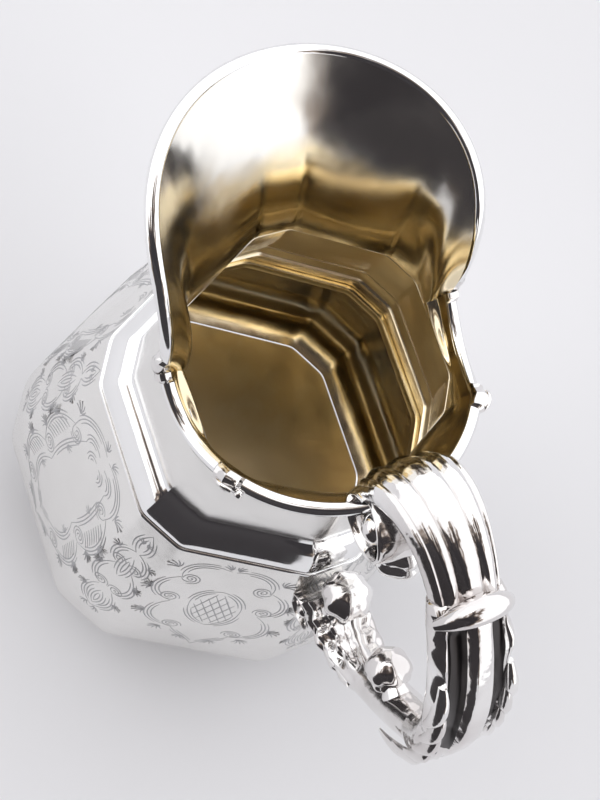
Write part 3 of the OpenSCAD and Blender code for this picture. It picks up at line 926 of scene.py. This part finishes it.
def fan(u, v, direction, spread, size, count, bend=0.3):
    """A small spray of curved leaf strokes; angles in degrees."""
    strokes = []
    for k in range(count):
        turn = math.radians(direction + spread * (k / max(count - 1, 1) - 0.5))
        reach = size * (0.7 + 0.3 * math.sin(math.pi * (k + 0.5) / count))
        tip = (u + reach * math.cos(turn), v + reach * math.sin(turn))
        middle = (u + 0.55 * reach * math.cos(turn + bend), v + 0.55 * reach * math.sin(turn + bend))
        strokes.append(curve((u, v), middle, middle, tip, count=8))
    return strokes


def beside(line, gap):
    """A shorter line at `gap` beside another, for the shading of a scroll."""
    along = unit(np.gradient(line, axis=0))
    inner = line + gap * np.stack([-along[:, 1], along[:, 0]], axis=1)
    return inner[len(line) // 6: -max(len(line) // 6, 1)]


def mirrored(strokes):
    """The strokes with shading lines beside the long ones, and their mirror image."""
    shaded = strokes + [beside(line, gap) for line in strokes if len(line) >= LONG for gap in (0.7, -0.7)]
    return shaded + [line * [-1, 1] for line in shaded]


def hatching(first, drop, count):
    """Short slanting strokes, each `drop` below the one before."""
    return [curve(*[(u, v - drop * k) for u, v in first], count=6) for k in range(count)]


def cartouche():
    """Large C- and S-scrolls with leaves round a clear middle, for the wide panels."""
    half = [curve((0.6, 73.5), (6, 75), (10.5, 71), (9.2, 65.5)),
            spiral(7.6, 65.2, 1.7, 0.4, 10, -1.1),
            curve((9.3, 66.0), (14.5, 62), (14.8, 55), (11.2, 51.5)),
            spiral(9.8, 52.6, 1.9, 0.4, -40, -1.2),
            curve((10.6, 50.6), (15.6, 46), (14.0, 38), (7.5, 34.5)),
            spiral(7.6, 36.6, 2.1, 0.4, -90, -1.2),
            curve((7.2, 34.2), (4.5, 31.5), (1.8, 31.0), (0, 27.5)),
            curve((5.2, 68.0), (7.4, 62), (8.2, 57), (6.6, 51)),
            curve((6.6, 51.0), (9.4, 46), (8.6, 41), (4.0, 38.0)),
            curve((4.2, 38.2), (2.4, 36.5), (1.0, 36.4), (0, 34.0)),
            curve((1.2, 71.0), (4.4, 71.6), (6.0, 70), (5.2, 68.0)),
            curve((0.6, 69.0), (2.4, 69.2), (3.2, 67.6), (2.2, 66.6))]
    half += fan(10.4, 69.0, 50, 110, 2.6, 5) + fan(13.2, 59.5, 10, 120, 2.5, 6)
    half += fan(12.8, 53.5, -25, 100, 2.6, 5) + fan(13.6, 44.5, 0, 120, 2.6, 6)
    half += fan(11.0, 37.0, -50, 110, 3.0, 6) + fan(4.2, 31.4, -70, 90, 2.6, 5)
    half += fan(6.9, 60.5, 180, 100, 1.8, 4) + fan(7.8, 46.0, 180, 100, 1.8, 4)
    half += fan(1.6, 74.0, 60, 80, 2.2, 4)
    half += hatching([(9.6, 63.4), (10.8, 62.9), (11.6, 62.4), (12.4, 61.6)], 1.1, 8)
    half += hatching([(9.8, 49.0), (11.0, 48.4), (11.8, 47.8), (12.6, 46.8)], 1.2, 7)
    return mirrored(half)


def lattice_lines():
    """Slanting strokes inside an oval; with their mirror images they make lozenges."""
    middle, half_width, half_height = 57, 4.3, 7.3
    heights = np.linspace(49.5, 64.5, 40)
    lines = []
    for shift in np.arange(-7.2, 7.3, 1.8):
        across = (heights - middle) / 2.4 + shift
        inside = (across / half_width) ** 2 + ((heights - middle) / half_height) ** 2 < 1
        if inside.sum() > 5:
            step = max(inside.sum() // 8, 1)
            lines.append(np.stack([across[inside], heights[inside]], axis=1)[::step])
    return lines


def lattice_motif():
    """Two tiers of C-scrolls with a lozenge lattice between them and a pendant, for the other wide panels."""
    half = [curve((0.4, 74.0), (5, 76), (9.5, 73), (8.4, 68.5)),
            spiral(6.9, 68.4, 1.6, 0.4, 0, -1.2),
            curve((8.6, 68.5), (13.5, 66), (13.5, 60), (9.2, 58.0)),
            spiral(9.2, 59.6, 1.6, 0.4, -90, -1.2),
            curve((8.6, 57.6), (13.8, 53), (12.5, 45), (6.2, 43.5)),
            spiral(6.4, 45.3, 1.8, 0.4, -90, -1.2),
            curve((6.0, 43.2), (4.5, 39), (2.0, 38.5), (0, 32.0)),
            curve((0, 65.5), (3.0, 65), (5.2, 62), (5.0, 58.0)),
            curve((5.0, 58.0), (5.0, 53), (3.0, 49.5), (0, 48.5))]
    half += lattice_lines()
    half += fan(9.8, 72.0, 50, 110, 2.6, 5) + fan(12.8, 62.5, 5, 120, 2.4, 5)
    half += fan(12.4, 50.5, -10, 130, 2.8, 6) + fan(8.0, 42.4, -50, 110, 3.0, 6)
    half += fan(2.6, 38.0, -70, 90, 3.0, 5) + fan(0.8, 74.5, 70, 70, 2.0, 4)
    return mirrored(half)


def narrow_motif():
    """An upright leaf finial over paired C-scrolls, for the narrow panels."""
    half = [curve((0, 76.0), (1.6, 73), (2.2, 71), (0.4, 68.5)),
            curve((0.4, 68.5), (3.8, 67.5), (4.6, 63), (2.2, 61.5)),
            spiral(2.0, 62.7, 1.2, 0.3, -90, -1.1),
            curve((0.3, 66.0), (1.4, 63), (1.4, 60), (0.2, 57.5)),
            curve((2.0, 60.8), (5.2, 57.5), (5.0, 52), (1.8, 50.0)),
            spiral(2.0, 51.4, 1.4, 0.3, -90, -1.1),
            curve((1.6, 49.4), (4.4, 45), (3.6, 40), (0, 36.5)),
            curve((0.2, 47.0), (1.6, 44), (1.4, 41), (0, 38.5))]
    half += fan(3.4, 66.4, 30, 110, 1.8, 4) + fan(4.0, 57.0, 5, 130, 2.0, 5)
    half += fan(3.4, 45.0, -20, 120, 2.2, 5) + fan(0.8, 36.8, -75, 60, 3.0, 4)
    half += fan(0.5, 72.0, 60, 60, 1.8, 3)
    return mirrored(half)


def motif_for(azimuth):
    """The lattice goes on the two wide panels beside the handle and the cartouche on the other four."""
    if azimuth % (2 * SIDE_STEP) == 0:
        return narrow_motif()
    return lattice_motif() if azimuth in (150, 210) else cartouche()


for azimuth in range(0, 360, SIDE_STEP):
    parts = [cut_line(azimuth, line) for line in motif_for(azimuth)]
    finish_piece(mesh_object(f"engraving_{azimuth:03d}", *join(parts), [CUT], sharp=80), "sheet_silver")

# ---- camera: the place and the picture's right and upward directions were fitted to the photo ----
CAMERA_AT = Vector((-23.68, 46.77, 252.38)) * MM
PICTURE_RIGHT, PICTURE_UP = Vector((-0.32375, -0.91709, 0.23266)), Vector((0.93746, -0.27769, 0.20990))
camera_data = bpy.data.cameras.new("photo_camera")
camera_data.lens = 45.0
camera_data.sensor_width = 36.0
camera_data.sensor_fit = "AUTO"
camera_data.clip_start, camera_data.clip_end = 0.01, 50
camera = bpy.data.objects.new("photo_camera", camera_data)
bpy.context.scene.collection.objects.link(camera)
turned = Matrix((PICTURE_RIGHT, PICTURE_UP, PICTURE_RIGHT.cross(PICTURE_UP))).transposed().to_4x4()
camera.matrix_world = Matrix.Translation(CAMERA_AT) @ turned
bpy.context.scene.camera = camera


# ---- floor and light, in metres ----
def flat_sheet(name, corners, colour, roughness):
    """A dull four-cornered sheet."""
    mesh = bpy.data.meshes.new(name)
    mesh.from_pydata([tuple(corner) for corner in corners], [], [(0, 1, 2, 3)])
    mesh.materials.append(new_material(f"{name}_paper", colour, metallic=0.0, roughness=roughness))
    sheet = bpy.data.objects.new(name, mesh)
    bpy.context.scene.collection.objects.link(sheet)
    return sheet


FLOOR_HALF = 1.5
floor_corners = [(x * FLOOR_HALF, y * FLOOR_HALF, 0) for x, y in ((-1, -1), (1, -1), (1, 1), (-1, 1))]
floor = flat_sheet("floor", floor_corners, (0.80, 0.80, 0.82), roughness=0.8)


# The direction of the dark part of the surround, like the photographer's dark clothes.
DARK_AZIMUTH = 136
towards_dark, beside_dark = around(DARK_AZIMUTH)


def dark_card(distance, width, height):
    """A dark card beyond the picture that only the silver sees."""
    low = [distance * towards_dark + s * width / 2 * beside_dark for s in (-1, 1)]
    corners = [low[0], low[1], low[1] + height * Z_AXIS, low[0] + height * Z_AXIS]
    card = flat_sheet("dark_card", corners, (0.030, 0.026, 0.028), roughness=0.9)
    card.visible_camera = card.visible_diffuse = card.visible_shadow = False


dark_card(distance=0.14, width=0.15, height=0.22)


def soft_light(name, position, size, power):
    """A weak square light that faces the jug."""
    lamp = bpy.data.lights.new(name, "AREA")
    lamp.shape, lamp.size, lamp.energy = "SQUARE", size, power
    lamp_object = bpy.data.objects.new(name, lamp)
    lamp_object.location = position
    direction = Vector((0, 0, 0.06)) - Vector(position)
    lamp_object.rotation_euler = direction.to_track_quat("-Z", "Y").to_euler()
    bpy.context.scene.collection.objects.link(lamp_object)


soft_light("key", (0.45, 0.35, 0.75), size=0.6, power=0.9)
soft_light("fill", (-0.65, -0.35, 0.55), size=0.5, power=0.3)

# ---- surround: bright and patchy with a dark side for the silver, plain and pale behind the jug ----
world = bpy.data.worlds.new("studio")
bpy.context.scene.world = world
world.use_nodes = True
world_place = node(world, "ShaderNodeTexCoord").outputs["Generated"]


def facing(direction):
    """1 where the surround lies in this direction, 0 where it is square to it."""
    made = node(world, "ShaderNodeVectorMath", operation="DOT_PRODUCT")
    made.inputs[1].default_value = Vector(direction).normalized()
    link(world, world_place, made.inputs[0])
    return made.outputs["Value"]


def combined(operation, first, second):
    """Two values of the surround combined; the second can be a plain number."""
    made = node(world, "ShaderNodeMath", operation=operation)
    link(world, first, made.inputs[0])
    if isinstance(second, float):
        made.inputs[1].default_value = second
    else:
        link(world, second, made.inputs[1])
    return made.outputs["Value"]


# How much less the dark part overhead counts than the one at the side.
OVERHEAD_LESS = 0.22
from_side = facing(0.88 * towards_dark + 0.42 * Z_AXIS)
from_above = combined("SUBTRACT", facing((-0.20, 0.28, 0.94)), OVERHEAD_LESS)
patches = node(world, "ShaderNodeTexNoise", Scale=5.0, Detail=2.0)
link(world, world_place, patches.inputs["Vector"])
patch_shift = map_range(world, patches.outputs["Fac"], 0.3, 0.7, -0.10, 0.10).outputs["Result"]
darkness = combined("ADD", combined("MAXIMUM", from_side, from_above), patch_shift)
shades = ramp(world, darkness, [(0.64, (1.05, 1.05, 1.07)), (0.70, (0.34, 0.27, 0.22)),
                                (0.76, (0.08, 0.065, 0.06)), (0.84, (0.035, 0.032, 0.035))])
surround = world.node_tree.nodes["Background"]
surround.inputs["Strength"].default_value = 1.3
link(world, shades.outputs["Color"], surround.inputs["Color"])
plain = node(world, "ShaderNodeBackground", Color=(0.76, 0.76, 0.79, 1))
seen = node(world, "ShaderNodeLightPath")
choice = node(world, "ShaderNodeMixShader")
link(world, seen.outputs["Is Camera Ray"], choice.inputs["Fac"])
link(world, surround.outputs["Background"], choice.inputs[1])
link(world, plain.outputs["Background"], choice.inputs[2])
link(world, choice.outputs["Shader"], world.node_tree.nodes["World Output"].inputs["Surface"])
bpy.context.scene.view_settings.view_transform = "Standard"
